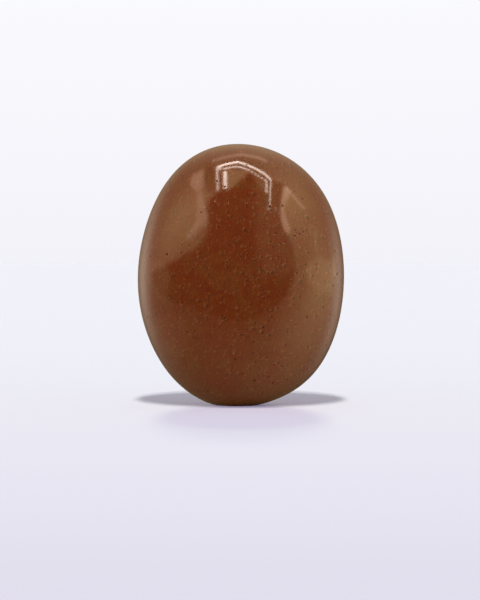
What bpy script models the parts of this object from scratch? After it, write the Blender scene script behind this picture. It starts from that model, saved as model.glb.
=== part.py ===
"""A polished sunstone pebble: one solid, upright on the small flat spot ground into its lower end."""

import math

import bmesh
import bpy
from mathutils import Vector

# Driving dimensions, in metres. The stone stands along +Z and its broad front faces -Y.
STONE_HEIGHT = 0.040
STONE_WIDTH = 0.0316
STONE_DEPTH = 0.0275
RESTING_SPOT_WIDTH = 0.0064

# The surface starts as a cube with this many faces along each edge.
FACES_PER_EDGE = 26
SHORTEST_EDGE = 0.0001

# Tumbling left the stone fuller here, and flatter there, than a plain ellipsoid.
# Each swell has the way it faces (degrees round from the front, 90 being +X, then degrees
# above the middle), its rise as a share of the radius, and its spread in degrees.
SWELLS = {
    "upper left shoulder": (270, 60, 0.022, 20),
    "upper right shoulder": (90, 38, 0.031, 22),
    "left side hollow": (270, 18, -0.011, 16),
    "lower left haunch": (270, -58, 0.012, 18),
    "lower right haunch": (90, -41, 0.031, 20),
    "bevel right of the spot": (90, -74, -0.016, 14),
    "front belly": (12, -14, 0.012, 34),
    "back hollow": (168, 30, -0.014, 28),
    "back haunch": (204, -30, 0.014, 26),
}

STONE_COLOUR = (0.140, 0.037, 0.012, 1.0)
STONE_ROUGHNESS = 0.12


def clear_scene():
    for thing in list(bpy.data.objects):
        bpy.data.objects.remove(thing, do_unlink=True)


def facing(round_degrees, up_degrees):
    """The unit vector that faces that way."""
    turn = math.radians(round_degrees)
    lift = math.radians(up_degrees)
    level = math.cos(lift)
    return Vector((level * math.sin(turn), -level * math.cos(turn), math.sin(lift)))


def radius_share(direction):
    """How far out the worn surface lies along a unit vector, where 1 is the plain ellipsoid."""
    share = 1.0
    for round_degrees, up_degrees, rise, spread in SWELLS.values():
        tightness = 1.0 / math.radians(spread) ** 2
        nearness = direction.dot(facing(round_degrees, up_degrees)) - 1.0
        share += rise * math.exp(tightness * nearness)
    return share


def even_direction(corner):
    """The unit vector through a point of the cube, spaced so that the faces come out alike."""
    return Vector([math.tan(part * math.pi / 4) for part in corner]).normalized()


def blow_up_cube(mesh):
    """Fills mesh with the stone's form, about one unit in radius."""
    bmesh.ops.create_cube(mesh, size=2.0)
    bmesh.ops.subdivide_edges(mesh, edges=mesh.edges[:], cuts=FACES_PER_EDGE - 1, use_grid_fill=True)
    for vertex in mesh.verts:
        direction = even_direction(vertex.co)
        vertex.co = direction * radius_share(direction)


def grind_resting_spot(mesh):
    """Cuts the lower end off level, where the form is as wide as the spot, and closes the cut."""
    spot_radius = RESTING_SPOT_WIDTH / STONE_WIDTH
    spot_level = -math.sqrt(1.0 - spot_radius**2)
    everything = mesh.verts[:] + mesh.edges[:] + mesh.faces[:]
    bmesh.ops.bisect_plane(
        mesh, geom=everything, plane_co=(0, 0, spot_level), plane_no=(0, 0, 1), clear_inner=True
    )
    rim = [edge for edge in mesh.edges if edge.is_boundary]
    bmesh.ops.contextual_create(mesh, geom=rim)


def bring_to_size(mesh):
    """Scales the form to the driving dimensions, centred over the origin, with the spot at z = 0."""
    sizes = (STONE_WIDTH, STONE_DEPTH, STONE_HEIGHT)
    for axis, size in enumerate(sizes):
        places = [vertex.co[axis] for vertex in mesh.verts]
        low = min(places)
        high = max(places)
        origin = low if axis == 2 else (low + high) / 2
        for vertex in mesh.verts:
            vertex.co[axis] = (vertex.co[axis] - origin) * size / (high - low)


def clean_up_cut(mesh):
    """Welds the slivers that the cut leaves beside the spot, and keeps the spot exactly level."""
    bmesh.ops.remove_doubles(mesh, verts=mesh.verts[:], dist=SHORTEST_EDGE)
    spot = min(mesh.faces, key=lambda face: face.calc_center_median().z)
    for vertex in spot.verts:
        vertex.co.z = 0.0
    for edge in spot.edges:
        edge.smooth = False
    bmesh.ops.recalc_face_normals(mesh, faces=mesh.faces[:])


def polished_sunstone():
    """Reddish brown feldspar, tumbled to a glassy polish."""
    material = bpy.data.materials.new("polished_sunstone")
    material.use_nodes = True
    shader = material.node_tree.nodes["Principled BSDF"]
    shader.inputs["Base Color"].default_value = STONE_COLOUR
    shader.inputs["Roughness"].default_value = STONE_ROUGHNESS
    shader.inputs["Metallic"].default_value = 0.0
    return material


def make_stone():
    mesh = bmesh.new()
    blow_up_cube(mesh)
    grind_resting_spot(mesh)
    bring_to_size(mesh)
    clean_up_cut(mesh)
    data = bpy.data.meshes.new("stone")
    mesh.to_mesh(data)
    mesh.free()
    data.shade_smooth()
    data.set_sharp_from_angle(angle=math.radians(35))
    data.materials.append(polished_sunstone())
    stone = bpy.data.objects.new("stone", data)
    bpy.context.scene.collection.objects.link(stone)
    return stone


clear_scene()
make_stone()
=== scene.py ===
import math

import bmesh
import bpy
import numpy as np
from bpy.props import FloatProperty, FloatVectorProperty, IntProperty, PointerProperty
from mathutils import Matrix, Vector
from mathutils.bvhtree import BVHTree


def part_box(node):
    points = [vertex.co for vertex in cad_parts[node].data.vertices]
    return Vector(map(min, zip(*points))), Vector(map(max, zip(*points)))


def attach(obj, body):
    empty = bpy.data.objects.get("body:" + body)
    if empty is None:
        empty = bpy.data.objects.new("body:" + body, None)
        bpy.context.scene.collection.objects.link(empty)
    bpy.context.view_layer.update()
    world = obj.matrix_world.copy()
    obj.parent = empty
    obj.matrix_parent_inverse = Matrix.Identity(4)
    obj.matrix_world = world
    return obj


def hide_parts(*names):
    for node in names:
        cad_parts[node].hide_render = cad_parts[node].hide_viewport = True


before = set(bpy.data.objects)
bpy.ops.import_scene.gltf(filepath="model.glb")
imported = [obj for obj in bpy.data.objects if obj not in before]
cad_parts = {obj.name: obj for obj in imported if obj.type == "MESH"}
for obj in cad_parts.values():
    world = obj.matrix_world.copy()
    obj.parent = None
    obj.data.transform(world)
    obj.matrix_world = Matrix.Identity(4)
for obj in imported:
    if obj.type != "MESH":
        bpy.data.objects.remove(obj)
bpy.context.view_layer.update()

bl_info = {
    "name": "Polished Sunstone",
    "version": (1, 0, 0),
    "blender": (4, 5, 0),
    "location": "3D View > Sidebar > Sunstone",
    "description": "A polished sunstone pebble and the pale studio that it stands in",
    "category": "Add Mesh",
}

STONE_LOW, STONE_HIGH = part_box("stone")
STONE_SIZE = STONE_HIGH - STONE_LOW
MM = 0.001

# The pebble's form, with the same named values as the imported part's source.
# Each swell has the way it faces (degrees round from the front, 90 being +X, then degrees
# above the middle), its rise as a share of the radius, and its spread in degrees.
SWELLS = {
    "upper left shoulder": (270, 60, 0.022, 20),
    "upper right shoulder": (90, 38, 0.031, 22),
    "left side hollow": (270, 18, -0.011, 16),
    "lower left haunch": (270, -58, 0.012, 18),
    "lower right haunch": (90, -41, 0.031, 20),
    "bevel right of the spot": (90, -74, -0.016, 14),
    "front belly": (12, -14, 0.012, 34),
    "back hollow": (168, 30, -0.014, 28),
    "back haunch": (204, -30, 0.014, 26),
}
RESTING_SPOT_WIDTH = 6.4 * MM
# The ground spot's rim is worn round over this share of the radius.
SPOT_RIM = 0.004
# How many points of the form are taken to find how far it reaches.
EXTENT_POINTS = 60000
# How far apart on the unit sphere two points are taken to find the surface's slope.
SLOPE_STEP = 1e-3
# A unit normal that rises or falls more than this gets its tangents from the X axis, not Z.
NEARLY_UPRIGHT = 0.9
MIRROR_SUBDIVISIONS = 6

# Low waves left by the tumbling, each with the way it runs and its crests per turn.
WAVES = (
    ((0.62, 0.31, 0.72), 7.0),
    ((-0.48, 0.66, 0.58), 9.0),
    ((0.15, -0.83, 0.54), 8.0),
    ((0.81, 0.22, -0.55), 11.0),
    ((-0.33, -0.57, 0.75), 13.0),
)
# How far each wave is shifted along its way from the one before, in radians.
WAVE_SHIFT = 1.7
# The waves and the pits fade out below these heights, so the resting spot stays flat.
WAVES_FULL_FROM = 2.0 * MM
PITS_FULL_FROM = 0.3 * MM

# Where the photograph shows single pits and chips, in its 480 by 600 pixels, with the width
# of each in millimetres.
PITS_SEEN = {
    "deep pit near the foot": ((254, 381), 0.62),
    "ringed pit low in the middle": ((235, 359), 0.50),
    "pit in the red cloud": ((255, 323), 0.42),
    "pit right of the red cloud": ((277, 308), 0.40),
    "pit under the red cloud": ((253, 342), 0.42),
    "first pit of the right row": ((277.5, 257), 0.42),
    "second pit of the right row": ((286, 259), 0.36),
    "pit above the right row": ((270.6, 242), 0.40),
    "pit right of centre": ((260, 268), 0.40),
    "pit at the centre": ((244.6, 267.6), 0.44),
    "pit at the right shoulder": ((302.7, 198.4), 0.40),
    "pit below the right shoulder": ((315.7, 224.8), 0.40),
}

# Where chance pits crowd: the way each crowd faces, its spread in degrees and its weight.
PIT_CROWDS = {
    "right of the middle": (38, 2, 30, 1.3),
    "lower front": (8, -32, 28, 0.9),
    "centre": (-4, 2, 22, 0.7),
    "right flank": (88, -10, 34, 0.8),
    "back": (176, -8, 46, 0.7),
    "left flank": (262, -24, 30, 0.5),
}
PIT_BACKGROUND = 0.28
# How much wider than typical a chance pit may be, and how unlike their widths are.
WIDEST_PIT_SHARE = 1.5
PIT_WIDTH_SPREAD = 0.30
# A pit's length as a share of its width, for the pits seen and for the chance ones.
SEEN_PIT_LENGTHS = (1.0, 1.25)
CHANCE_PIT_LENGTHS = (1.0, 1.6)
# A pit's wall takes up this share of its radius. Lobes make its rim ragged: each has its height
# as a share of the radius, how many there are round the rim, and how fast the pit's turn turns them.
PIT_WALL_SHARE = 0.7
PIT_LOBES = ((0.14, 2.0, 9.0), (0.10, 3.0, 5.0))
# The stone's mesh is split again round each pit, within these shares of the pit's length.
STONE_SUBDIVISIONS = 7
PIT_SPLITS = (1.05, 0.75)

# The camera, at the photograph's viewing angle: its lens and sensor in millimetres, its
# elevation in degrees, and its distance in metres from the point that it looks at.
PICTURE_WIDTH = 480
PICTURE_HEIGHT = 600
CAMERA_LENS = 100.0
CAMERA_SENSOR = 36.0
CAMERA_ELEVATION = 1.4
CAMERA_DISTANCE = 0.2555
CAMERA_AIM = (-0.14 * MM, 0.0, 16.12 * MM)
FOCAL_PIXELS = PICTURE_HEIGHT * CAMERA_LENS / CAMERA_SENSOR

# The room that the polish mirrors: a dome of soft tones, each with the way it faces,
# its spread in degrees and its light.
ROOM_RADIUS = 2.0
ROOM_SUBDIVISIONS = 6
ROOM_BASE = (0.045, 0.035, 0.008)
WARM = np.array((1.28, 1.00, 0.52))
EARTH = np.array((1.40, 0.86, 0.52))
ROSE = np.array((1.55, 1.00, 0.74))
SAND = np.array((1.22, 1.00, 0.68))
SOFT_WHITE = np.array((1.12, 1.00, 0.84))
ROOM_TONES = {
    "left window": (-58, 42, 19, 1.20 * WARM),
    "left wall": (-85, 20, 18, 0.82 * WARM),
    "left wall, far": (-132, 1, 13, 0.88 * SOFT_WHITE),
    "left wall, low": (-116, -20, 24, 0.22 * SAND),
    "table, left": (-60, -52, 32, 0.22 * EARTH),
    "right window": (60, 42, 17, 1.20 * WARM),
    "right wall": (90, -4, 19, 1.02 * WARM),
    "right wall, high": (92, 46, 20, 0.78 * WARM),
    "right wall, far": (129, 0, 12, 0.68 * SOFT_WHITE),
    "table, right": (82, -45, 26, 0.54 * EARTH),
    "right wall, low": (132, -18, 13, 0.28 * SOFT_WHITE),
    "right wall, foot": (62, -24, 15, 0.26 * WARM),
    "table, front": (0, -56, 22, 0.14 * EARTH),
    "wall behind, high": (180, 52, 26, 0.71 * SAND),
    "front of the room": (28, 8, 28, 0.18 * WARM),
}

# Shapes on the wall that the stone's front mirrors. Their outlines and lines are in the
# photograph's pixels, because the wall is laid out by where the polish mirrors it to.
# An edge is how soft a shape's edge is, in pixels. A shade leaves a share of the wall's light,
# and a shape adds its own.
WALL_SHADES = {
    "unlit side": {
        "outline": (
            (250, 173), (262, 176), (272, 180), (284, 184), (283, 192), (281, 202), (280, 212), (282, 222),
            (286, 231), (291, 245), (295, 258), (295, 272), (290, 286), (284, 298), (272, 309), (250, 321),
            (230, 320), (207, 313), (187, 306), (172, 302), (159, 292), (152, 280), (153, 271), (164, 266),
            (176, 260), (186, 254), (197, 248), (204, 240), (208, 232), (209, 222), (207, 212), (206, 204),
            (207, 206), (210, 199), (218, 192), (231, 189),
        ),
        "edge": 5.0,
        "share": 0.10,
    },
    "post left of the skylight": {
        "outline": ((205, 168), (213, 165), (216, 176), (216, 190), (208, 192), (205, 184)),
        "edge": 3.0,
        "share": 0.55,
    },
}
WALL_SHAPES = {
    "dim right of the front": {
        "outline": (
            (256, 180), (284, 184), (280, 212), (288, 233), (297, 264), (288, 276), (262, 274), (256, 240),
            (254, 206),
        ),
        "edge": 12.0,
        "light": 0.30 * WARM,
    },
    "lower front, left": {
        "outline": ((160, 312), (182, 322), (186, 345), (176, 362), (163, 345), (156, 325)),
        "edge": 14.0,
        "light": 0.16 * EARTH,
    },
    "dim foot of the left wall": {
        "outline": ((150, 262), (164, 262), (170, 275), (168, 296), (160, 292), (151, 280)),
        "edge": 8.0,
        "light": 0.30 * EARTH,
    },
    "left curtain": {
        "outline": ((192, 176), (203.5, 169), (203.5, 186), (200, 190), (194, 190), (190, 184)),
        "edge": 4.0,
        "light": 1.15 * ROSE,
    },
    "left jamb": {
        "outline": (
            (197, 191), (202, 191), (204, 201), (206, 210), (208, 217), (206, 224), (198, 231), (190, 240),
            (186, 238), (192, 228), (197, 218), (197, 204),
        ),
        "edge": 4.0,
        "light": 0.95 * ROSE,
    },
    "right jamb": {
        "outline": (
            (283.5, 187), (287.5, 187), (290.5, 193), (288, 198), (285, 204), (284, 209), (285.5, 216),
            (288, 222), (290.5, 229), (288, 234), (284, 230), (281.5, 222), (280.5, 213), (281.5, 204),
        ),
        "edge": 2.5,
        "light": 1.6 * ROSE,
    },
    "right window's slant": {
        "line": ((287, 188.5), (293.6, 196), (299.7, 204), (304, 208)),
        "width": 2.0,
        "edge": 2.0,
        "light": 1.30 * ROSE,
    },
    "right curtain": {
        "outline": ((309, 264), (318, 256), (332, 262), (336, 275), (331, 294), (318, 292), (304, 276)),
        "edge": 8.0,
        "light": 0.42 * WARM,
    },
    "curtain fold": {
        "line": ((315.5, 232), (316.5, 250)),
        "width": 2.5,
        "edge": 2.0,
        "light": 0.55 * WARM,
    },
    "first fold below": {
        "line": ((310, 262), (309.5, 282)),
        "width": 2.0,
        "edge": 2.0,
        "light": 0.50 * WARM,
    },
    "last fold below": {
        "line": ((333.5, 258), (334.5, 276)),
        "width": 2.0,
        "edge": 2.0,
        "light": 0.45 * WARM,
    },
    "skylight's near pane": {
        "outline": ((227, 169), (250, 171), (241, 179), (228, 191)),
        "edge": 3.0,
        "light": 1.0 * WARM,
    },
    "skylight's far pane": {
        "outline": ((250, 171), (258, 175), (266, 181), (266, 190), (257, 184)),
        "edge": 3.0,
        "light": 0.55 * WARM,
    },
    "wall edge beside the right window": {
        "line": ((293, 238), (298, 256), (299, 272), (295, 290), (291, 305)),
        "width": 4.0,
        "edge": 6.0,
        "light": 0.24 * WARM,
    },
    "beam over the skylight": {
        "line": ((214, 161), (224, 157.5), (242, 154.5), (258, 157.5), (266, 161)),
        "width": 2.5,
        "edge": 3.0,
        "light": 1.1 * ROSE,
    },
}

# The wall is a net of points, one to each step across and down the photograph in its pixels,
# and this many metres from the stone.
WINDOW_WALL_STEP = 1.5
WINDOW_WALL_LEFT, WINDOW_WALL_TOP = 138.0, 147.0
WINDOW_WALL_COLUMNS, WINDOW_WALL_ROWS = 138, 172
WINDOW_WALL_DISTANCE = 0.6
# More pixels than any pixel can lie from a line.
FAR_AWAY = 1e9

# The skylight's bright bars, as lines in the photograph's pixels, each with its width in pixels
# and its strength.
SKYLIGHT_DISTANCE = 0.55
SKYLIGHT_STEP = 1.0
SKYLIGHT_WARMTH = (1.0, 0.86, 0.74)
SKYLIGHT_BARS = {
    "left rail": (((217.9, 190.5), (217.3, 178.0), (217.2, 167.5)), 2.3, 8.0),
    "left corner": (((218.5, 169.0), (221.5, 168.0)), 3.0, 8.0),
    "upper rail, left": (((217.2, 167.3), (225, 164.3), (238, 161.6)), 1.9, 15.0),
    "upper rail, right": (
        ((238, 161.8), (246, 164.2), (256.5, 169.0), (264, 173.4), (271, 179.6)), 1.9, 13.0,
    ),
    "right rail": (((271.0, 179.6), (270.5, 193.6), (270.0, 206)), 1.2, 10.0),
    "right rail, wide part": (((266.8, 180.5), (266.6, 193.0)), 1.9, 9.0),
    "glazing bar": (((225.0, 171.0), (225.5, 188.8)), 3.4, 14.0),
    "inner rail, left": (((222.8, 168.7), (236.6, 166.2), (247.3, 169.0)), 1.4, 11.0),
    "first lamp": (((267.6, 208.7), (269.4, 208.7)), 1.7, 7.0),
    "second lamp": (((275.4, 209.0), (276.9, 209.0)), 1.4, 6.0),
}
# The inner rail on the right is broken into short lights, from its one end to its other.
BROKEN_RAIL = ((247.3, 169.0), (266.8, 181.0))
BROKEN_RAIL_LIGHTS = 6
BROKEN_RAIL_LIT_PART = (0.25, 0.75)
BROKEN_RAIL_WIDTH = 1.7
BROKEN_RAIL_STRENGTH = 10.0

# The table and the backdrop, in metres.
FLOOR_RADIUS = 12.0
FLOOR_SEGMENTS = 96
BACKDROP_HEIGHT_SHARE = 0.15
# The fill light grows from a quarter below the table to its full strength above it.
FILL_HEIGHTS = (-0.95, 0.0)
FILL_SHARES = (0.25, 1.0)
# The table is deepest in tone, a painted shade, a little in front of the stone, and pales to the
# backdrop's tone behind the stone and behind the camera, so other angles show no edge. Distances are in
# metres.
FLOOR_SHADE_TONE = "#E3DEED"
FLOOR_NEAR_END, FLOOR_DEEPEST, FLOOR_FAR_END = -0.800, -0.143, 0.960
# Towards the far end it pales as the square of this reach over this reach and the distance.
FLOOR_PALING_REACH = 0.21
FLOOR_NEAR_POWER = 1.5
FLOOR_NEAR_STOPS, FLOOR_FAR_STOPS = 5, 10
# The tones reach this wide, and then fade to the far end's one this fast.
FLOOR_TONE_WIDTH = 0.30
FLOOR_TONE_FADE = 4.0

# Each lamp has the way it stands from the stone, its strength in watts a square metre, how
# wide it looks in degrees, its hue, what it lights and what casts its shadow.
LAMPS = {
    "overhead_key_near": (0, 55, 1.09, 5, (0.984, 1.0, 0.93), "table_top", "key_core"),
    "overhead_key_far": (0, 63, 1.09, 5, (0.984, 1.0, 0.93), "table_top", "key_core"),
    "back_light_low": (180, 36, 0.54, 9, (0.82, 1.0, 0.62), "table_top", "back_core"),
    "back_light_high": (180, 47, 0.54, 9, (0.82, 1.0, 0.62), "table_top", "back_core"),
    "table_fill": (0, 90, 0.69, 5, (0.61, 0.47, 1.0), "table_top", "table_top"),
    "left_window_glow": (-58, 20, 1.15, 120, (1.0, 0.93, 0.85), "sunstone_pebble", "sunstone_pebble"),
    "right_window_glow": (58, 16, 1.15, 120, (1.0, 0.93, 0.85), "sunstone_pebble", "sunstone_pebble"),
    "back_glow": (180, 30, 1.10, 120, (1.0, 0.96, 0.92), "sunstone_pebble", "sunstone_pebble"),
}
# A hidden ellipsoid in the stone's place casts each of the table's two shadows. Each is shaped
# to give the photograph's shadow, and has its width, depth and height as shares of the
# stone's.
SHADE_CORES = {
    "key_core": (1.06, 1.04, 0.60),
    "back_core": (0.76, 0.80, 0.86),
}
CORE_SUBDIVISIONS = 4
# The soft dark spot under the stone, and the shares of its width over which it clears.
FOOT_SHADE_WIDTH = 13.0 * MM
FOOT_SHADE_HEIGHT = 0.02 * MM
FOOT_SHADE_FADE = (0.15, 0.5)
FOOT_SHADE_HUE = (0.01, 0.01, 0.01)
FOOT_SHADE_SEGMENTS = 64

# The stone's colour pattern. Each chance pattern lies mostly between two values.
PATTERN_LOW, PATTERN_HIGH = 0.3, 0.7
# Clouds of hematite dust: wide ochre ones and small red ones. Each shows from one value of its
# pattern and is full at another.
CLOUD_SIZE = 5 * MM
OCHRE_FROM, OCHRE_FULL = 0.40, 0.66
SMALL_CLOUD_SIZE = 1.7 * MM
RED_FROM, RED_FULL, RED_SHARE = 0.50, 0.72, 0.55
# Fine grain, from its darkest to its palest.
GRAIN_SIZE = 0.3 * MM
GRAIN_DARKEST, GRAIN_PALEST = 0.84, 1.16
# Healed cracks between grains. Real ones are under 0.05 mm wide, and these are drawn 0.12 mm
# wide to show at all. They show in places only, and each has a painted highlight, a pale line, beside its
# dark one.
CRACKED_GRAIN_SIZE = 1.5 * MM
CRACK_OUTER, CRACK_INNER = 0.06, 0.015
CRACK_BEND_SIZE = 1.1 * MM
CRACK_BEND = 1.2 * MM
CRACKS_FROM, CRACKS_FULL = 0.48, 0.60
CRACK_HIGHLIGHT_SHARE, CRACK_SHARE = 0.30, 0.60
# How far the painted highlights of cracks and platelets, drawn as pale rims, stand off, to the left and up.
PAINTED_HIGHLIGHT_OFFSET = (0.13 * MM, 0.0, -0.08 * MM)
# Platelets: real ones are 0.05 to 0.5 mm across, and the small ones are drawn 0.3 mm across to
# show at all. Each kind has its cell, its outer and inner radius as shares of the cell, the
# chances under which a cell has none and over which it shows fully, and how strongly its painted
# highlight, a pale rim, and its dark face show.
PLATELETS = {
    "small platelets": (0.60 * MM, 0.34, 0.14, 0.35, 0.95, 0.58, 0.82),
    "large platelets": (1.15 * MM, 0.33, 0.13, 0.15, 0.75, 0.60, 0.80),
}
# Their edges are torn by a finer pattern.
TORN_SIZE = 0.35 * MM
TORN_REACH = 0.5 * MM
# They crowd where the small clouds are, and lie thicker towards the stone's right side.
CROWD_FROM, CROWD_FULL, CROWD_LEAST = 0.40, 0.58, 0.40
THICKER_FROM, THICKER_TO = -4 * MM, 9 * MM
THICKNESS_LEFT, THICKNESS_RIGHT = 0.85, 1.7
# The polish is a little smoother and a little duller from place to place.
SMOOTHER, DULLER = 0.015, 0.03
# What the pits have lost and gained: their share of painted shade, how much rougher they are, and how
# strongly they shine beside the polish.
PIT_SHADE_SHARE = 0.62
PIT_ROUGHNESS = 0.30
POLISH_GLEAM = 0.5
PIT_GLEAM = 0.30

# A Mix node's colour sockets share their names with its number sockets, so they go by place.
MIX_FACTOR = 0
MIX_A = 6
MIX_B = 7
MIX_RESULT = 2


def linear(hex_colour):
    """The linear colour of an sRGB hex value."""
    parts = [int(hex_colour[place:place + 2], 16) / 255 for place in (1, 3, 5)]
    return tuple(part / 12.92 if part <= 0.04045 else ((part + 0.055) / 1.055) ** 2.4 for part in parts)


def facing(round_degrees, up_degrees):
    """The unit vector that faces that way."""
    turn = math.radians(round_degrees)
    lift = math.radians(up_degrees)
    level = math.cos(lift)
    return np.array((level * math.sin(turn), -level * math.cos(turn), math.sin(lift)))


def unit(vectors):
    """The same vectors, each one long."""
    return vectors / np.linalg.norm(vectors, axis=-1, keepdims=True)


def eased(share):
    """A smooth step from 0 to 1."""
    share = np.clip(share, 0.0, 1.0)
    return share * share * (3.0 - 2.0 * share)


def worn_form(directions):
    """The tumbled form, about one unit in radius, with its ground spot at z = 0."""
    share = np.ones(len(directions))
    for round_degrees, up_degrees, rise, spread in SWELLS.values():
        tightness = 1.0 / math.radians(spread) ** 2
        share += rise * np.exp(tightness * (directions @ facing(round_degrees, up_degrees) - 1.0))
    points = directions * share[:, None]
    spot_level = -math.sqrt(1.0 - (RESTING_SPOT_WIDTH / STONE_SIZE.x) ** 2)
    points[:, 2] = SPOT_RIM * np.logaddexp(0.0, (points[:, 2] - spot_level) / SPOT_RIM)
    return points


def spread_directions(count):
    """Unit vectors spread evenly over the sphere along a spiral."""
    steps = np.arange(count) + 0.5
    height = 1.0 - 2.0 * steps / count
    turn = steps * math.pi * (3.0 - math.sqrt(5.0))
    level = np.sqrt(1.0 - height * height)
    return np.stack((level * np.cos(turn), level * np.sin(turn), height), axis=1)


def form_extent():
    """The lowest and highest corner of the form before it is brought to size."""
    points = worn_form(spread_directions(EXTENT_POINTS))
    low = points.min(axis=0)
    low[2] = 0.0
    return low, points.max(axis=0)


FORM_LOW, FORM_HIGH = form_extent()


def smooth_surface(directions):
    """Points of the stone's smooth surface in metres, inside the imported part's box."""
    share = (worn_form(directions) - FORM_LOW) / (FORM_HIGH - FORM_LOW)
    return np.array(STONE_LOW) + share * np.array(STONE_SIZE)


def tangents(normals):
    """Two unit vectors across each unit normal, and across each other."""
    helper = np.where(np.abs(normals[:, 2:3]) < NEARLY_UPRIGHT, (0.0, 0.0, 1.0), (1.0, 0.0, 0.0))
    across = unit(np.cross(helper, normals))
    return across, np.cross(normals, across)


def smooth_normals(directions):
    """Outward unit normals of the smooth surface."""
    slopes = []
    for way in tangents(directions):
        step = SLOPE_STEP * way
        slopes.append(smooth_surface(unit(directions + step)) - smooth_surface(unit(directions - step)))
    return unit(np.cross(*slopes))


def mesh_points(mesh):
    """The vertex positions of a bmesh as an array."""
    return np.array([vertex.co[:] for vertex in mesh.verts])


def camera_axes():
    """The camera's place and its right, up and backward directions."""
    lift = math.radians(CAMERA_ELEVATION)
    back = np.array((0.0, -math.cos(lift), math.sin(lift)))
    up = np.array((0.0, math.sin(lift), math.cos(lift)))
    place = np.array(CAMERA_AIM) + back * CAMERA_DISTANCE
    return place, np.array((1.0, 0.0, 0.0)), up, back


class StoneMirror:
    """The smooth stone, for finding what a pixel of the picture lands on and mirrors."""

    def __init__(self):
        mesh = bmesh.new()
        bmesh.ops.create_icosphere(mesh, subdivisions=MIRROR_SUBDIVISIONS, radius=1.0)
        directions = unit(mesh_points(mesh))
        self.corners = np.array([[vertex.index for vertex in face.verts] for face in mesh.faces])
        mesh.free()
        self.points = smooth_surface(directions)
        self.normals = smooth_normals(directions)
        self.directions = directions
        self.tree = BVHTree.FromPolygons(self.points.tolist(), self.corners.tolist())
        self.place, self.right, self.up, self.back = camera_axes()

    def hit(self, pixel):
        """The point, normal and form direction under a pixel, and its ray, or None beside the stone."""
        x = (pixel[0] - PICTURE_WIDTH / 2) / FOCAL_PIXELS
        y = (PICTURE_HEIGHT / 2 - pixel[1]) / FOCAL_PIXELS
        ray = unit(self.right * x + self.up * y - self.back)
        place, _, face, _ = self.tree.ray_cast(Vector(self.place), Vector(ray))
        if place is None:
            return None
        corners = self.corners[face]
        first, second, third = self.points[corners]
        edges = np.stack((second - first, third - first), axis=1)
        shares = np.linalg.lstsq(edges, np.array(place) - first, rcond=None)[0]
        weights = np.array((1.0 - shares.sum(), shares[0], shares[1]))
        return (
            np.array(place),
            unit(weights @ self.normals[corners]),
            unit(weights @ self.directions[corners]),
            ray,
        )

    def mirrored(self, pixel, distance):
        """The point that the polish mirrors to a pixel at that distance, and its direction, or None."""
        found = self.hit(pixel)
        if found is None:
            return None
        place, normal, _, ray = found
        out = ray - 2.0 * (ray @ normal) * normal
        return place + distance * out, out


def add_node(tree, kind, settings=None, links=None, stops=()):
    """Adds a node. Settings name its attributes or sockets, links its inputs, stops a ramp's colours."""
    node = tree.nodes.new(kind)
    for name, value in (settings or {}).items():
        if isinstance(name, int) or name in node.inputs:
            node.inputs[name].default_value = value
        else:
            setattr(node, name, value)
    for name, source in (links or {}).items():
        tree.links.new(source, node.inputs[name])
    if stops:
        ramp = node.color_ramp.elements
        while len(ramp) > 1:
            ramp.remove(ramp[-1])
        ramp[0].position = stops[0][0]
        ramp[0].color = (*stops[0][1], 1.0)
        for place, hue in stops[1:]:
            ramp.new(place).color = (*hue, 1.0)
    return node


def new_material(name):
    """An empty material and its node tree."""
    material = bpy.data.materials.new(name)
    material.use_nodes = True
    material.node_tree.nodes.clear()
    return material, material.node_tree


def new_object(name, mesh):
    """Links a mesh into the scene as an object."""
    thing = bpy.data.objects.new(name, mesh)
    bpy.context.scene.collection.objects.link(thing)
    return thing


def mixed(tree, under, hue, share, more_share):
    """A colour laid over another by two shares multiplied together."""
    both = add_node(tree, "ShaderNodeMath", {"operation": "MULTIPLY"}, {0: share, 1: more_share})
    over = add_node(tree, "ShaderNodeMix", {"data_type": "RGBA", MIX_B: (*hue, 1)},
                    {MIX_FACTOR: both.outputs["Value"], MIX_A: under})
    return over.outputs[MIX_RESULT]


def fleck(tree, under, hue, place, kind, most, crowd):
    """One side of a kind of platelet, its dark face or its painted highlight, laid over a colour, most of
    all where they crowd.
    """
    cell, outer, inner, none, full = kind
    cells = add_node(tree, "ShaderNodeTexVoronoi", {"Scale": 1 / cell, "Randomness": 1.0}, {"Vector": place})
    chance = add_node(tree, "ShaderNodeSeparateColor", links={"Color": cells.outputs["Color"]})
    near = add_node(tree, "ShaderNodeMapRange", {"From Min": outer, "From Max": inner, "To Max": most},
                    {"Value": cells.outputs["Distance"]})
    pick = add_node(tree, "ShaderNodeMapRange", {"From Min": none, "From Max": full},
                    {"Value": chance.outputs["Red"], "To Max": crowd})
    return mixed(tree, under, hue, near.outputs["Result"], pick.outputs["Result"])


def hematite_clouds(tree, place, small, finish):
    """The body colour, with its wide ochre clouds and small red ones."""
    wide = add_node(tree, "ShaderNodeTexNoise",
                    {"Scale": 1 / CLOUD_SIZE, "Detail": 4.0, "Roughness": 0.55, "Distortion": 0.8},
                    {"Vector": place})
    ochre_share = add_node(tree, "ShaderNodeMapRange", {
        "interpolation_type": "SMOOTHSTEP",
        "From Min": OCHRE_FROM,
        "From Max": OCHRE_FULL,
    }, {"Value": wide.outputs["Fac"]})
    body = add_node(tree, "ShaderNodeMix",
                    {"data_type": "RGBA", MIX_A: (*finish.body, 1), MIX_B: (*finish.ochre, 1)},
                    {MIX_FACTOR: ochre_share.outputs["Result"]})
    red_share = add_node(tree, "ShaderNodeMapRange",
                         {"From Min": RED_FROM, "From Max": RED_FULL, "To Max": RED_SHARE},
                         {"Value": small})
    clouded = add_node(tree, "ShaderNodeMix", {"data_type": "RGBA", MIX_B: (*finish.red_cloud, 1)},
                       {MIX_FACTOR: red_share.outputs["Result"], MIX_A: body.outputs[MIX_RESULT]})
    return clouded.outputs[MIX_RESULT]


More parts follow.
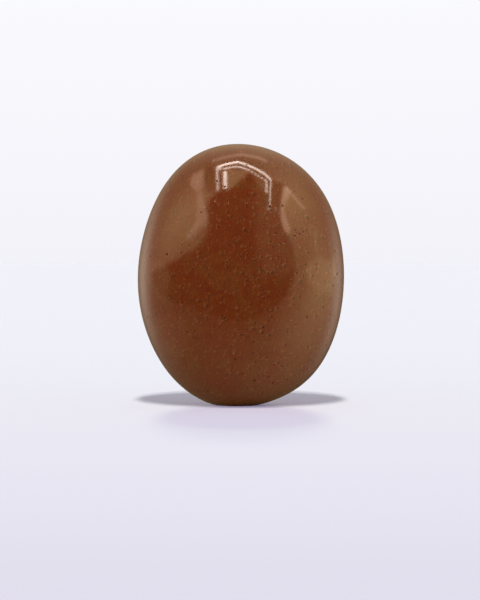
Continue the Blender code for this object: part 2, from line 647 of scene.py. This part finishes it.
def healed_cracks(tree, under, place, finish):
    """Bent cracks between grains laid over a colour, each a dark line with a painted highlight, a pale line,
    beside it.
    """
    bend = add_node(tree, "ShaderNodeTexNoise", {"Scale": 1 / CRACK_BEND_SIZE, "Detail": 2.0},
                    {"Vector": place})
    bent = add_node(tree, "ShaderNodeVectorMath",
                    {"operation": "MULTIPLY_ADD", 1: (CRACK_BEND, CRACK_BEND, CRACK_BEND)},
                    {0: bend.outputs["Color"], 2: place})
    # The painted highlight beside each crack is looked up this far off, so it stands up and to the left.
    beside = add_node(tree, "ShaderNodeVectorMath", {"operation": "ADD", 1: PAINTED_HIGHLIGHT_OFFSET},
                      {0: bent.outputs["Vector"]})
    shown = add_node(tree, "ShaderNodeMapRange", {"From Min": CRACKS_FROM, "From Max": CRACKS_FULL},
                     {"Value": bend.outputs["Fac"]})
    lines = (
        (beside, finish.painted_highlight, CRACK_HIGHLIGHT_SHARE),
        (bent, finish.dark_platelet, CRACK_SHARE),
    )
    for line_place, hue, most in lines:
        edges = add_node(tree, "ShaderNodeTexVoronoi",
                         {"feature": "DISTANCE_TO_EDGE", "Scale": 1 / CRACKED_GRAIN_SIZE},
                         {"Vector": line_place.outputs["Vector"]})
        line = add_node(tree, "ShaderNodeMapRange",
                        {"From Min": CRACK_OUTER, "From Max": CRACK_INNER, "To Max": most},
                        {"Value": edges.outputs["Distance"]})
        under = mixed(tree, under, hue, line.outputs["Result"], shown.outputs["Result"])
    return under


def torn_platelets(tree, under, place, small, finish):
    """Platelets laid over a colour, dark, each with a painted highlight as a pale rim up and to the left of
    it.
    """
    torn = add_node(tree, "ShaderNodeTexNoise", {"Scale": 1 / TORN_SIZE, "Detail": 1.0}, {"Vector": place})
    ragged = add_node(tree, "ShaderNodeVectorMath",
                      {"operation": "MULTIPLY_ADD", 1: (TORN_REACH, TORN_REACH, TORN_REACH)},
                      {0: torn.outputs["Color"], 2: place}).outputs["Vector"]
    # Each platelet's painted highlight, a pale rim, is looked up off to one side of the platelet.
    highlight_place = add_node(tree, "ShaderNodeVectorMath", {"operation": "ADD", 1: PAINTED_HIGHLIGHT_OFFSET},
                         {0: ragged}).outputs["Vector"]
    across = add_node(tree, "ShaderNodeSeparateXYZ", links={"Vector": place})
    thickest = add_node(tree, "ShaderNodeMapRange", {
        "From Min": THICKER_FROM,
        "From Max": THICKER_TO,
        "To Min": THICKNESS_LEFT,
        "To Max": THICKNESS_RIGHT,
    }, {"Value": across.outputs["X"]})
    crowd = add_node(tree, "ShaderNodeMapRange",
                     {"From Min": CROWD_FROM, "From Max": CROWD_FULL, "To Min": CROWD_LEAST},
                     {"Value": small, "To Max": thickest.outputs["Result"]}).outputs["Result"]
    for *kind, highlight_most, dark_most in PLATELETS.values():
        # First the painted highlight, then the dark face.
        under = fleck(tree, under, finish.painted_highlight, highlight_place, kind, highlight_most, crowd)
        under = fleck(tree, under, finish.dark_platelet, ragged, kind, dark_most, crowd)
    return under


def polished_sunstone(finish):
    """Sunstone feldspar, tumbled to a glassy polish.

    It gives the eye a warm red-brown body clouded with ochre, fine dark platelets with painted highlights
    under a clear gloss, and small dull pits with painted shade where grains were plucked out.
    """
    material, tree = new_material("polished sunstone feldspar")
    place = add_node(tree, "ShaderNodeTexCoord").outputs["Object"]
    small = add_node(tree, "ShaderNodeTexNoise",
                     {"Scale": 1 / SMALL_CLOUD_SIZE, "Detail": 4.0, "Roughness": 0.6},
                     {"Vector": place}).outputs["Fac"]
    grain = add_node(tree, "ShaderNodeTexNoise", {"Scale": 1 / GRAIN_SIZE, "Detail": 2.0, "Roughness": 0.6},
                     {"Vector": place}).outputs["Fac"]
    grain_light = add_node(tree, "ShaderNodeMapRange", {
        "From Min": PATTERN_LOW,
        "From Max": PATTERN_HIGH,
        "To Min": GRAIN_DARKEST,
        "To Max": GRAIN_PALEST,
    }, {"Value": grain})
    clouded = hematite_clouds(tree, place, small, finish)
    grained = add_node(tree, "ShaderNodeVectorMath", {"operation": "SCALE"},
                       {"Vector": clouded, "Scale": grain_light.outputs["Result"]})
    cracked = healed_cracks(tree, grained.outputs["Vector"], place, finish)
    flecked = torn_platelets(tree, cracked, place, small, finish)
    # Pits are darkened with painted shade and have lost their polish.
    pit = add_node(tree, "ShaderNodeAttribute", {"attribute_name": "pit"}).outputs["Fac"]
    dust = add_node(tree, "ShaderNodeMath", {"operation": "MULTIPLY", 1: PIT_SHADE_SHARE}, {0: pit})
    pit_shaded = add_node(tree, "ShaderNodeMix", {"data_type": "RGBA", MIX_B: (*finish.painted_pit_shade, 1)},
                      {MIX_FACTOR: dust.outputs["Value"], MIX_A: flecked})
    gloss = add_node(tree, "ShaderNodeMapRange", {
        "From Min": PATTERN_LOW,
        "From Max": PATTERN_HIGH,
        "To Min": finish.roughness - SMOOTHER,
        "To Max": finish.roughness + DULLER,
    }, {"Value": small})
    dull = add_node(tree, "ShaderNodeMath",
                    {"operation": "MULTIPLY_ADD", 1: PIT_ROUGHNESS, "use_clamp": True},
                    {0: pit, 2: gloss.outputs["Result"]})
    gleam = add_node(tree, "ShaderNodeMapRange", {"To Min": POLISH_GLEAM, "To Max": PIT_GLEAM},
                     {"Value": pit})
    bump = add_node(tree, "ShaderNodeBump", {"Strength": 1.0, "Distance": finish.grain_height},
                    {"Height": grain})
    shader = add_node(tree, "ShaderNodeBsdfPrincipled", {"IOR": finish.ior, "Metallic": 0.0}, {
        "Base Color": pit_shaded.outputs[MIX_RESULT],
        "Roughness": dull.outputs["Value"],
        "Specular IOR Level": gleam.outputs["Result"],
        "Normal": bump.outputs["Normal"],
    })
    add_node(tree, "ShaderNodeOutputMaterial", links={"Surface": shader.outputs["BSDF"]})
    return material


def choose_pits(shape, mirror):
    """The pits, each a form direction, a width in metres, a length share and a turn."""
    chance = np.random.RandomState(shape.seed)
    pits = []
    for pixel, width in PITS_SEEN.values():
        found = mirror.hit(pixel)
        if found is None:
            raise RuntimeError("a pit of the photograph falls beside the stone")
        length = chance.uniform(*SEEN_PIT_LENGTHS)
        turn = chance.uniform(0.0, math.pi)
        pits.append((found[2], width * MM, length, turn))
    crowds = [(facing(turn, lift), 1.0 / math.radians(spread) ** 2, weight)
              for turn, lift, spread, weight in PIT_CROWDS.values()]
    most = PIT_BACKGROUND + sum(weight for _, _, weight in crowds)
    while len(pits) < shape.pit_count:
        direction = unit(chance.normal(size=3))
        share = PIT_BACKGROUND + sum(weight * math.exp(tightness * (direction @ way - 1.0))
                                     for way, tightness, weight in crowds)
        width = shape.pit_width * min(WIDEST_PIT_SHARE, chance.lognormal(0.0, PIT_WIDTH_SPREAD))
        length = chance.uniform(*CHANCE_PIT_LENGTHS)
        turn = chance.uniform(0.0, math.pi)
        if chance.uniform(0.0, most) < share:
            pits.append((direction, width, length, turn))
    return pits


def pebble_directions(pits):
    """A fine sphere, finer again round each pit, as unit vectors and corner numbers."""
    mesh = bmesh.new()
    bmesh.ops.create_icosphere(mesh, subdivisions=STONE_SUBDIVISIONS, radius=1.0)
    centres = smooth_surface(np.array([pit[0] for pit in pits]))
    for reach in PIT_SPLITS:
        points = smooth_surface(unit(mesh_points(mesh)))
        near = np.zeros(len(points), bool)
        for centre, pit in zip(centres, pits):
            near |= ((points - centre) ** 2).sum(axis=1) < (reach * pit[1] * pit[2]) ** 2
        mesh.verts.ensure_lookup_table()
        edges = [edge for edge in mesh.edges if near[edge.verts[0].index] or near[edge.verts[1].index]]
        bmesh.ops.subdivide_edges(mesh, edges=edges, cuts=1)
        bmesh.ops.triangulate(mesh, faces=[face for face in mesh.faces if len(face.verts) > 3])
        mesh.verts.index_update()
    directions = unit(mesh_points(mesh))
    corners = [[vertex.index for vertex in face.verts] for face in mesh.faces]
    mesh.free()
    return directions, corners


def press_pits(points, normals, pits, depth_share):
    """How deep each point lies in a pit, in metres, and its share of that pit's depth."""
    depth = np.zeros(len(points))
    pitted = np.zeros(len(points))
    centres = smooth_surface(np.array([pit[0] for pit in pits]))
    for centre, (direction, width, length, turn) in zip(centres, pits):
        away = points - centre
        near = np.nonzero((away ** 2).sum(axis=1) < (width * length) ** 2)[0]
        if not len(near):
            continue
        across, along = tangents(smooth_normals(direction[None, :]))
        x = away[near] @ (across * math.cos(turn) + along * math.sin(turn))[0] / (0.5 * width * length)
        y = away[near] @ (along * math.cos(turn) - across * math.sin(turn))[0] / (0.5 * width)
        angle = np.arctan2(y, x)
        ragged = 1.0
        for height, lobes, speed in PIT_LOBES:
            ragged = ragged + height * np.sin(lobes * angle + speed * turn)
        inside = 1.0 - np.hypot(x, y) / ragged
        share = eased(inside / PIT_WALL_SHARE)
        depth[near] = np.maximum(depth[near], share * depth_share * width)
        pitted[near] = np.maximum(pitted[near], share)
    return depth, pitted


def low_waves(directions):
    """The tumbling's low waves over the surface, from -1 to 1."""
    total = np.zeros(len(directions))
    for number, (way, crests) in enumerate(WAVES):
        total += np.sin(crests * (directions @ unit(np.array(way))) + WAVE_SHIFT * number)
    return total / len(WAVES)


def make_pebble(shape, finish):
    """The polished stone, with its pits as mesh."""
    mirror = StoneMirror()
    pits = choose_pits(shape, mirror)
    directions, corners = pebble_directions(pits)
    points = smooth_surface(directions)
    normals = smooth_normals(directions)
    depth, pitted = press_pits(points, normals, pits, shape.pit_depth_share)
    above_spot = eased(points[:, 2] / WAVES_FULL_FROM)
    wave = shape.wave_height * (low_waves(directions) - 1.0) * above_spot
    depth = depth * eased(points[:, 2] / PITS_FULL_FROM)
    points = points + normals * (wave - depth)[:, None]
    mesh = bpy.data.meshes.new("sunstone_pebble")
    mesh.from_pydata(points.tolist(), [], corners)
    mesh.attributes.new("pit", "FLOAT", "POINT").data.foreach_set("value", pitted.astype(np.float32))
    mesh.shade_smooth()
    mesh.materials.append(polished_sunstone(finish))
    mesh.validate()
    pebble = new_object("sunstone_pebble", mesh)
    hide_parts("stone")
    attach(pebble, "root")
    return pebble


def hide_from(thing, *kinds):
    """Keeps a thing out of those kinds of ray, such as camera or shadow."""
    for kind in kinds:
        setattr(thing, "visible_" + kind, False)


def only_mirrored(thing):
    """Keeps a light card or the dome out of everything but the polish."""
    hide_from(thing, "camera", "diffuse", "transmission", "volume_scatter", "shadow")


def glowing(name):
    """A card lit from behind: it gives off the light that its points carry."""
    material, tree = new_material(name)
    light = add_node(tree, "ShaderNodeAttribute", {"attribute_name": "glow"})
    emission = add_node(tree, "ShaderNodeEmission", {"Strength": 1.0}, {"Color": light.outputs["Color"]})
    add_node(tree, "ShaderNodeOutputMaterial", links={"Surface": emission.outputs["Emission"]})
    material.cycles.emission_sampling = "NONE"
    return material


def glowing_mesh(name, points, faces, lights, material):
    """A stage mesh that only the polish mirrors, with its own light at each point."""
    mesh = bpy.data.meshes.new(name)
    mesh.from_pydata([list(point) for point in points], [], faces)
    hues = np.concatenate((lights, np.ones((len(lights), 1))), axis=1).astype(np.float32)
    mesh.color_attributes.new("glow", "FLOAT_COLOR", "POINT").data.foreach_set("color", hues.ravel())
    mesh.shade_smooth()
    mesh.materials.append(material)
    card = new_object(name, mesh)
    only_mirrored(card)
    return card


def room_light(directions):
    """The room's soft light from each direction."""
    light = np.tile(np.array(ROOM_BASE), (len(directions), 1))
    for turn, lift, spread, hue in ROOM_TONES.values():
        tightness = 1.0 / math.radians(spread) ** 2
        share = np.exp(tightness * (directions @ facing(turn, lift) - 1.0))
        light += share[:, None] * np.array(hue)
    return light


def make_room(material):
    """The dome whose soft tones the polish mirrors."""
    mesh = bmesh.new()
    bmesh.ops.create_icosphere(mesh, subdivisions=ROOM_SUBDIVISIONS, radius=1.0)
    directions = unit(mesh_points(mesh))
    faces = [[vertex.index for vertex in face.verts] for face in mesh.faces]
    mesh.free()
    return glowing_mesh("mirrored_room", directions * ROOM_RADIUS, faces, room_light(directions), material)


def line_distance(pixels, line):
    """How far each pixel lies from a line, in pixels."""
    best = np.full(len(pixels), FAR_AWAY)
    ends = np.array(line, float)
    for start, end in zip(ends[:-1], ends[1:]):
        side = end - start
        share = np.clip(((pixels - start) @ side) / (side @ side), 0.0, 1.0)
        best = np.minimum(best, np.linalg.norm(pixels - start - share[:, None] * side, axis=1))
    return best


def edge_distance(pixels, outline):
    """How far inside an outline each pixel lies, in pixels, negative outside."""
    ends = np.array(outline, float)
    inside = np.zeros(len(pixels), bool)
    for start, end in zip(ends, np.roll(ends, -1, axis=0)):
        crosses = (start[1] > pixels[:, 1]) != (end[1] > pixels[:, 1])
        if start[1] != end[1]:
            level = start[0] + (pixels[:, 1] - start[1]) * (end[0] - start[0]) / (end[1] - start[1])
            inside ^= crosses & (pixels[:, 0] < level)
    away = line_distance(pixels, (*outline, outline[0]))
    return np.where(inside, away, -away)


def shape_share(pixels, shape):
    """How far each pixel lies in a shape of the wall, from 0 to 1."""
    if "line" in shape:
        inside = shape["width"] / 2 - line_distance(pixels, shape["line"])
    else:
        inside = edge_distance(pixels, shape["outline"])
    return eased(0.5 + inside / shape["edge"])


def make_window_wall(mirror, material):
    """The wall that the stone's front mirrors, with its windows and its unlit side."""
    spots = {}
    places = []
    pixels = []
    ways = []
    for row in range(WINDOW_WALL_ROWS):
        for column in range(WINDOW_WALL_COLUMNS):
            pixel = (WINDOW_WALL_LEFT + column * WINDOW_WALL_STEP, WINDOW_WALL_TOP + row * WINDOW_WALL_STEP)
            found = mirror.mirrored(pixel, WINDOW_WALL_DISTANCE)
            if found is None:
                continue
            spots[row, column] = len(places)
            places.append(found[0])
            ways.append(found[1])
            pixels.append(pixel)
    faces = []
    for row, column in spots:
        ring = [(row, column), (row, column + 1), (row + 1, column + 1), (row + 1, column)]
        if all(spot in spots for spot in ring):
            faces.append([spots[spot] for spot in ring])
    pixels = np.array(pixels)
    light = room_light(np.array(ways))
    for shade in WALL_SHADES.values():
        light *= 1.0 - (1.0 - shade["share"]) * shape_share(pixels, shade)[:, None]
    for shape in WALL_SHAPES.values():
        light += shape_share(pixels, shape)[:, None] * shape["light"]
    return glowing_mesh("window_wall", places, faces, light, material)


def make_skylight(mirror, material):
    """The skylight's crisp bars above the stone."""
    places = []
    faces = []
    lights = []
    bars = list(SKYLIGHT_BARS.values())
    start, end = np.array(BROKEN_RAIL)
    for number in range(BROKEN_RAIL_LIGHTS):
        light = [start + (end - start) * (number + share) / BROKEN_RAIL_LIGHTS
                 for share in BROKEN_RAIL_LIT_PART]
        bars.append((light, BROKEN_RAIL_WIDTH, BROKEN_RAIL_STRENGTH))
    for line, width, strength in bars:
        ends = np.array(line, float)
        spots = [ends[0]]
        for start, end in zip(ends[:-1], ends[1:]):
            count = max(1, int(np.linalg.norm(end - start) / SKYLIGHT_STEP))
            spots += [start + (end - start) * step / count for step in range(1, count + 1)]
        spots = np.array(spots)
        run = unit(np.gradient(spots, axis=0))
        side = np.stack((-run[:, 1], run[:, 0]), axis=1) * width / 2
        for number, (spot, offset) in enumerate(zip(spots, side)):
            for pixel in (spot - offset, spot + offset):
                places.append(mirror.mirrored(pixel, SKYLIGHT_DISTANCE)[0])
                lights.append(np.array(SKYLIGHT_WARMTH) * strength)
            if number:
                last = len(places) - 1
                faces.append((last - 3, last - 2, last, last - 1))
    return glowing_mesh("skylight_bars", places, faces, np.array(lights), material)


def table_tones(pale):
    """The table's tones from its near end to its far end, each with its distance."""
    depths = []
    for step in range(FLOOR_NEAR_STOPS):
        along = step / FLOOR_NEAR_STOPS
        distance = FLOOR_NEAR_END + (FLOOR_DEEPEST - FLOOR_NEAR_END) * along
        depths.append((distance, along ** FLOOR_NEAR_POWER))
    least = 1.0 / (1.0 + (FLOOR_FAR_END - FLOOR_DEEPEST) / FLOOR_PALING_REACH)
    for step in range(FLOOR_FAR_STOPS + 1):
        left = 1.0 - (1.0 - least) * step / FLOOR_FAR_STOPS
        distance = FLOOR_DEEPEST + FLOOR_PALING_REACH * (1.0 / left - 1.0)
        depths.append((distance, (left ** 2 - least ** 2) / (1.0 - least ** 2)))
    change = np.array(linear(FLOOR_SHADE_TONE)) - pale
    return [(distance, pale + change * share) for distance, share in depths]


def make_floor(studio):
    """A plain pale table top, with painted shade that deepens its tone near the camera."""
    material, tree = new_material("matt white table laminate")
    place = add_node(tree, "ShaderNodeNewGeometry").outputs["Position"]
    parts = add_node(tree, "ShaderNodeSeparateXYZ", links={"Vector": place})
    aside = add_node(tree, "ShaderNodeMath", {"operation": "ABSOLUTE"}, {0: parts.outputs["X"]})
    beyond = add_node(tree, "ShaderNodeMath",
                      {"operation": "SUBTRACT", 1: FLOOR_TONE_WIDTH / 2, "use_clamp": True},
                      {0: aside.outputs["Value"]})
    depth = add_node(tree, "ShaderNodeMath", {"operation": "MULTIPLY_ADD", 1: FLOOR_TONE_FADE},
                     {0: beyond.outputs["Value"], 2: parts.outputs["Y"]}).outputs["Value"]
    share = add_node(tree, "ShaderNodeMapRange", {"From Min": FLOOR_NEAR_END, "From Max": FLOOR_FAR_END},
                     {"Value": depth})
    length = FLOOR_FAR_END - FLOOR_NEAR_END
    stops = [(min(1.0, (distance - FLOOR_NEAR_END) / length), tone / studio.floor_light)
             for distance, tone in table_tones(np.array(studio.horizon))]
    ramp = add_node(tree, "ShaderNodeValToRGB", links={"Fac": share.outputs["Result"]}, stops=stops)
    shader = add_node(tree, "ShaderNodeBsdfDiffuse", links={"Color": ramp.outputs["Color"]})
    add_node(tree, "ShaderNodeOutputMaterial", links={"Surface": shader.outputs["BSDF"]})
    mesh = bmesh.new()
    bmesh.ops.create_circle(mesh, cap_ends=True, segments=FLOOR_SEGMENTS, radius=FLOOR_RADIUS)
    data = bpy.data.meshes.new("table_top")
    mesh.to_mesh(data)
    mesh.free()
    data.materials.append(material)
    floor = new_object("table_top", data)
    hide_from(floor, "glossy", "diffuse")
    return floor


def make_world(studio):
    """The backdrop that the camera sees, and the even light that fills the shadows."""
    world = bpy.data.worlds.new("pale studio")
    world.use_nodes = True
    tree = world.node_tree
    tree.nodes.clear()
    way = add_node(tree, "ShaderNodeTexCoord").outputs["Generated"]
    height = add_node(tree, "ShaderNodeSeparateXYZ", links={"Vector": way}).outputs["Z"]
    rise = add_node(tree, "ShaderNodeMapRange", {"From Min": 0.0, "From Max": BACKDROP_HEIGHT_SHARE},
                    {"Value": height})
    backdrop = add_node(tree, "ShaderNodeMix",
                        {"data_type": "RGBA", MIX_A: (*studio.horizon, 1), MIX_B: (*studio.backdrop_top, 1)},
                        {MIX_FACTOR: rise.outputs["Result"]})
    strength = add_node(tree, "ShaderNodeMapRange", {
        "interpolation_type": "SMOOTHSTEP",
        "From Min": FILL_HEIGHTS[0],
        "From Max": FILL_HEIGHTS[1],
        "To Min": FILL_SHARES[0],
        "To Max": FILL_SHARES[1],
    }, {"Value": height})
    fill = add_node(tree, "ShaderNodeVectorMath", {"operation": "SCALE", 0: studio.fill_hue},
                    {"Scale": strength.outputs["Result"]})
    seen = add_node(tree, "ShaderNodeLightPath").outputs["Is Camera Ray"]
    shown = add_node(tree, "ShaderNodeMix", {"data_type": "RGBA"},
                     {MIX_FACTOR: seen, MIX_A: fill.outputs["Vector"], MIX_B: backdrop.outputs[MIX_RESULT]})
    light = add_node(tree, "ShaderNodeBackground", {"Strength": 1.0}, {"Color": shown.outputs[MIX_RESULT]})
    add_node(tree, "ShaderNodeOutputWorld", links={"Surface": light.outputs["Background"]})
    bpy.context.scene.world = world
    return world


def make_shade_cores():
    """The hidden ellipsoids that shade the table from its lamps, seen by nothing else."""
    middle = (Vector(STONE_LOW) + Vector(STONE_HIGH)) / 2
    for name, shares in SHADE_CORES.items():
        mesh = bmesh.new()
        bmesh.ops.create_icosphere(mesh, subdivisions=CORE_SUBDIVISIONS, radius=0.5)
        data = bpy.data.meshes.new(name)
        mesh.to_mesh(data)
        mesh.free()
        core = new_object(name, data)
        core.location = middle
        core.scale = [size * share for size, share in zip(STONE_SIZE, shares)]
        hide_from(core, "camera", "diffuse", "glossy", "transmission")


def make_foot_shade():
    """The soft dark spot where the stone meets the table, seen by the stone and the fill only."""
    unlit, tree = new_material("unlit contact")
    place = add_node(tree, "ShaderNodeTexCoord").outputs["Object"]
    away = add_node(tree, "ShaderNodeVectorMath", {"operation": "LENGTH"}, {0: place}).outputs["Value"]
    dark_to, clear_from = FOOT_SHADE_FADE
    open_share = add_node(tree, "ShaderNodeMapRange",
                          {"interpolation_type": "SMOOTHSTEP", "From Min": dark_to, "From Max": clear_from},
                          {"Value": away})
    dark = add_node(tree, "ShaderNodeBsdfDiffuse", {"Color": (*FOOT_SHADE_HUE, 1.0)})
    clear = add_node(tree, "ShaderNodeBsdfTransparent")
    shader = add_node(tree, "ShaderNodeMixShader",
                      links={0: open_share.outputs["Result"], 1: dark.outputs["BSDF"],
                             2: clear.outputs["BSDF"]})
    add_node(tree, "ShaderNodeOutputMaterial", links={"Surface": shader.outputs["Shader"]})
    mesh = bmesh.new()
    bmesh.ops.create_circle(mesh, cap_ends=True, segments=FOOT_SHADE_SEGMENTS, radius=0.5)
    data = bpy.data.meshes.new("foot_shade")
    mesh.to_mesh(data)
    mesh.free()
    data.materials.append(unlit)
    spot = new_object("foot_shade", data)
    spot.location.z = FOOT_SHADE_HEIGHT
    spot.scale = (FOOT_SHADE_WIDTH, FOOT_SHADE_WIDTH, 1.0)
    hide_from(spot, "camera", "transmission")


def make_lamps():
    """Soft lamps: some light the table and shape its two shadows, and the glows model the stone."""
    for name, (turn, lift, strength, width, hue, lit, shades) in LAMPS.items():
        lamp = bpy.data.lights.new(name, "SUN")
        lamp.energy = strength
        lamp.angle = math.radians(width)
        lamp.color = hue
        thing = new_object(name, lamp)
        way = Vector(facing(turn, lift))
        thing.location = way
        thing.rotation_euler = way.to_track_quat("Z", "Y").to_euler()
        thing.visible_glossy = False
        lit_only = bpy.data.collections.new(name + "_lights")
        lit_only.objects.link(bpy.data.objects[lit])
        thing.light_linking.receiver_collection = lit_only
        shades_only = bpy.data.collections.new(name + "_shades")
        shades_only.objects.link(bpy.data.objects[shades])
        if lit == "sunstone_pebble":
            shades_only.objects.link(bpy.data.objects["foot_shade"])
        thing.light_linking.blocker_collection = shades_only


def make_camera():
    """The camera, at the photograph's viewing angle."""
    place, right, up, back = camera_axes()
    lens = bpy.data.cameras.new("camera")
    lens.lens = CAMERA_LENS
    lens.sensor_width = CAMERA_SENSOR
    camera = new_object("camera", lens)
    turned = Matrix((right, up, back)).transposed().to_4x4()
    camera.matrix_world = Matrix.Translation(Vector(place)) @ turned
    bpy.context.scene.camera = camera
    return camera


class SunstoneShape(bpy.types.PropertyGroup):
    """Sizes of the stone's worn surface."""

    pit_count: IntProperty(
        name="Pits", description="How many pits the whole stone has", default=480, min=12, max=900,
    )
    pit_width: FloatProperty(
        name="Pit width", description="A typical pit's width", default=0.27 * MM, min=0.1 * MM, max=1.0 * MM,
        precision=5, unit="LENGTH",
    )
    pit_depth_share: FloatProperty(
        name="Pit depth share", description="A pit's depth as a share of its width", default=0.20, min=0.02,
        max=0.5, subtype="FACTOR",
    )
    wave_height: FloatProperty(
        name="Wave height", description="How high the tumbling's low waves stand", default=0.012 * MM,
        min=0.0, max=0.1 * MM, precision=6, unit="LENGTH",
    )
    seed: IntProperty(name="Seed", description="Which chance pattern of pits is drawn", default=11, min=0)


class SunstoneFinish(bpy.types.PropertyGroup):
    """Colours and gloss of the polished stone."""

    body: FloatVectorProperty(
        name="Body", description="The feldspar's own colour", subtype="COLOR", default=linear("#843a18"),
    )
    ochre: FloatVectorProperty(
        name="Ochre clouds", description="Paler ochre clouds", subtype="COLOR", default=linear("#84441d"),
    )
    red_cloud: FloatVectorProperty(
        name="Red clouds", description="Clouds of hematite dust", subtype="COLOR",
        default=linear("#802c14"),
    )
    dark_platelet: FloatVectorProperty(
        name="Dark platelets", description="Hematite platelets seen flat on", subtype="COLOR",
        default=linear("#54200f"),
    )
    # Painted highlights: the pale rims beside cracks and platelets.
    painted_highlight: FloatVectorProperty(
        name="Painted platelet highlights", description="Platelets that catch the light", subtype="COLOR",
        default=linear("#c07c4a"),
    )
    # Painted shade, darkening the pits.
    painted_pit_shade: FloatVectorProperty(
        name="Painted pit shade", description="Painted shade in the pits", subtype="COLOR",
        default=linear("#45190b"),
    )
    roughness: FloatProperty(
        name="Roughness", description="Roughness of the polish", default=0.085, min=0.0, max=1.0,
        subtype="FACTOR",
    )
    ior: FloatProperty(
        name="IOR", description="Refractive index of feldspar", default=1.54, min=1.0, max=2.5,
    )
    grain_height: FloatProperty(
        name="Grain height", description="Height of the fine grain under the polish", default=0.0012 * MM,
        min=0.0, max=0.1 * MM, precision=7, unit="LENGTH",
    )


class SunstoneStudio(bpy.types.PropertyGroup):
    """Light and tone of the pale studio."""

    horizon: FloatVectorProperty(
        name="Horizon", description="The backdrop at table level", subtype="COLOR",
        default=linear("#F3F2F9"),
    )
    backdrop_top: FloatVectorProperty(
        name="Backdrop", description="The backdrop higher up", subtype="COLOR", default=linear("#FAFAFE"),
    )
    fill_hue: FloatVectorProperty(
        name="Fill light", description="The even light from all round", subtype="COLOR",
        default=(0.20, 0.20, 0.21),
    )
    floor_light: FloatProperty(
        name="Table light", description="How bright a white table comes out", default=1.118, min=0.1,
        max=10.0,
    )


class SUNSTONE_OT_pebble(bpy.types.Operator):
    """Add the polished sunstone pebble in place of its plain solid"""

    bl_idname = "sunstone.pebble"
    bl_label = "Sunstone pebble"

    def execute(self, context):
        make_pebble(context.scene.sunstone_shape, context.scene.sunstone_finish)
        return {"FINISHED"}


class SUNSTONE_OT_studio(bpy.types.Operator):
    """Add the pale table, the backdrop, the soft lights and the camera"""

    bl_idname = "sunstone.studio"
    bl_label = "Pale studio"

    def execute(self, context):
        studio = context.scene.sunstone_studio
        context.scene.view_settings.view_transform = "Standard"
        mirror = StoneMirror()
        soft_light = glowing("soft light card")
        make_camera()
        make_world(studio)
        make_floor(studio)
        make_room(soft_light)
        make_window_wall(mirror, soft_light)
        make_skylight(mirror, soft_light)
        make_shade_cores()
        make_foot_shade()
        make_lamps()
        return {"FINISHED"}


class SUNSTONE_PT_sidebar(bpy.types.Panel):
    """The sunstone's operators and settings"""

    bl_label = "Polished sunstone"
    bl_idname = "SUNSTONE_PT_sidebar"
    bl_space_type = "VIEW_3D"
    bl_region_type = "UI"
    bl_category = "Sunstone"

    def draw(self, context):
        for operator in OPERATORS:
            self.layout.operator(operator.bl_idname)
        for name in SETTINGS:
            group = getattr(context.scene, name)
            box = self.layout.box()
            for setting in group.__annotations__:
                box.prop(group, setting)


OPERATORS = (SUNSTONE_OT_pebble, SUNSTONE_OT_studio)
SETTINGS = {
    "sunstone_shape": SunstoneShape,
    "sunstone_finish": SunstoneFinish,
    "sunstone_studio": SunstoneStudio,
}
CLASSES = (*SETTINGS.values(), *OPERATORS, SUNSTONE_PT_sidebar)


def register():
    """Registers the classes and puts their settings on the scene."""
    for kind in CLASSES:
        bpy.utils.register_class(kind)
    for name, kind in SETTINGS.items():
        setattr(bpy.types.Scene, name, PointerProperty(type=kind))


def unregister():
    """Takes the settings off the scene and unregisters the classes."""
    for name in SETTINGS:
        delattr(bpy.types.Scene, name)
    for kind in reversed(CLASSES):
        bpy.utils.unregister_class(kind)


def main():
    register()
    bpy.ops.sunstone.pebble()
    bpy.ops.sunstone.studio()


if __name__ == "__main__":
    main()
